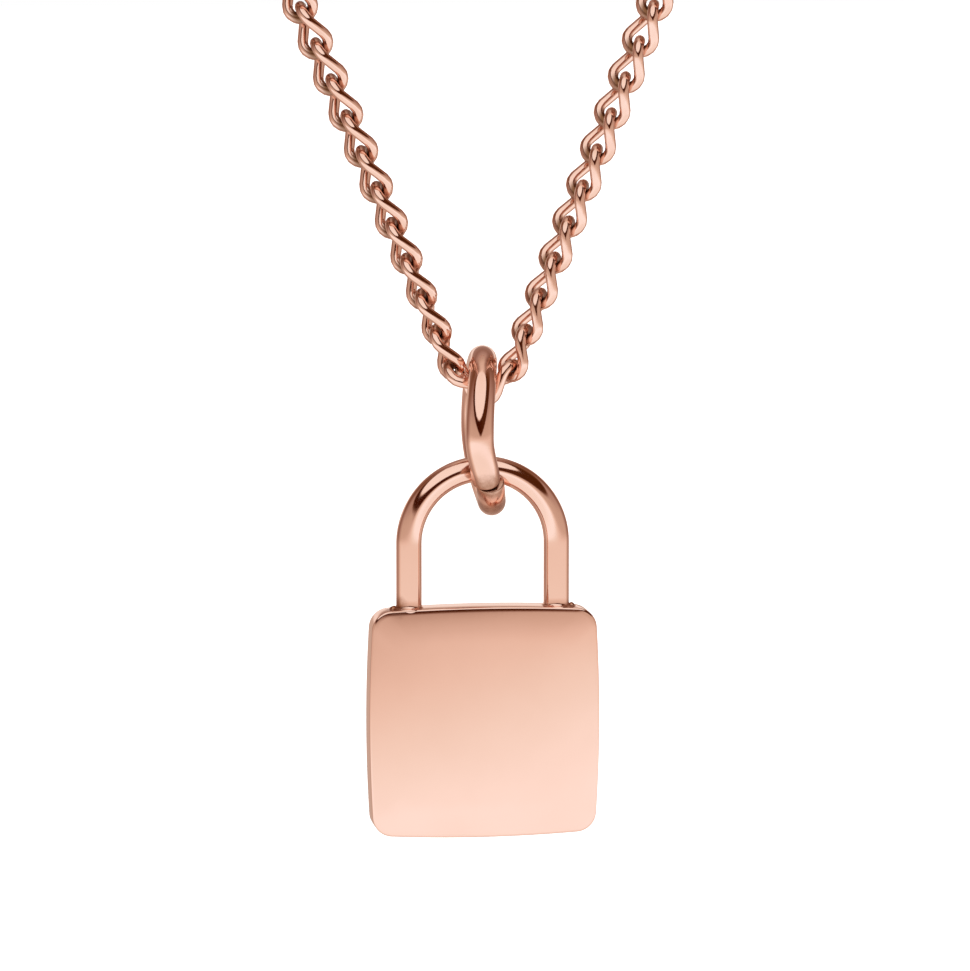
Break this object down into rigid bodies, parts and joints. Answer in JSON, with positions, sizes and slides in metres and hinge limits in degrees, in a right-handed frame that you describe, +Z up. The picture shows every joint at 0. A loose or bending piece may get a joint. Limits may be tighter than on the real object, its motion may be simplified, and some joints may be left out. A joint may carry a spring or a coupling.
{
  "type": "padlock pendant necklace",
  "caption": "Curb chain necklace closed by a clasp at the nape, with a plain square padlock pendant that hangs by its shackle from a large jump ring.",
  "frame": {"origin": "middle of the clasp at the nape of the neck", "axes": "+Z up, -Y to the front where the padlock hangs, +X to the right as seen from the front"},
  "size_m": [0.1047, 0.109, 0.1614],
  "materials": {
    "rose_gold": "polished rose-gold plating"
  },
  "bodies": {
    "necklace": {"chain": "rose_gold", "clasp": "rose_gold"},
    "ring": {"jump_ring": "rose_gold"},
    "pendant": {"padlock": "rose_gold"}
  },
  "joints": [
    {"name": "ring_swing", "type": "hinge", "parent": "necklace", "child": "ring", "pos_m": [0, -0.10213, -0.1367], "axis": [0.9945, -0.1045, 0], "range_deg": [-20, 20]},
    {"name": "padlock_swing", "type": "hinge", "parent": "ring", "child": "pendant", "pos_m": [0.00045, -0.10217, -0.14205], "axis": [0.1045, 0.9945, 0], "range_deg": [-35, 35]}
  ]
}
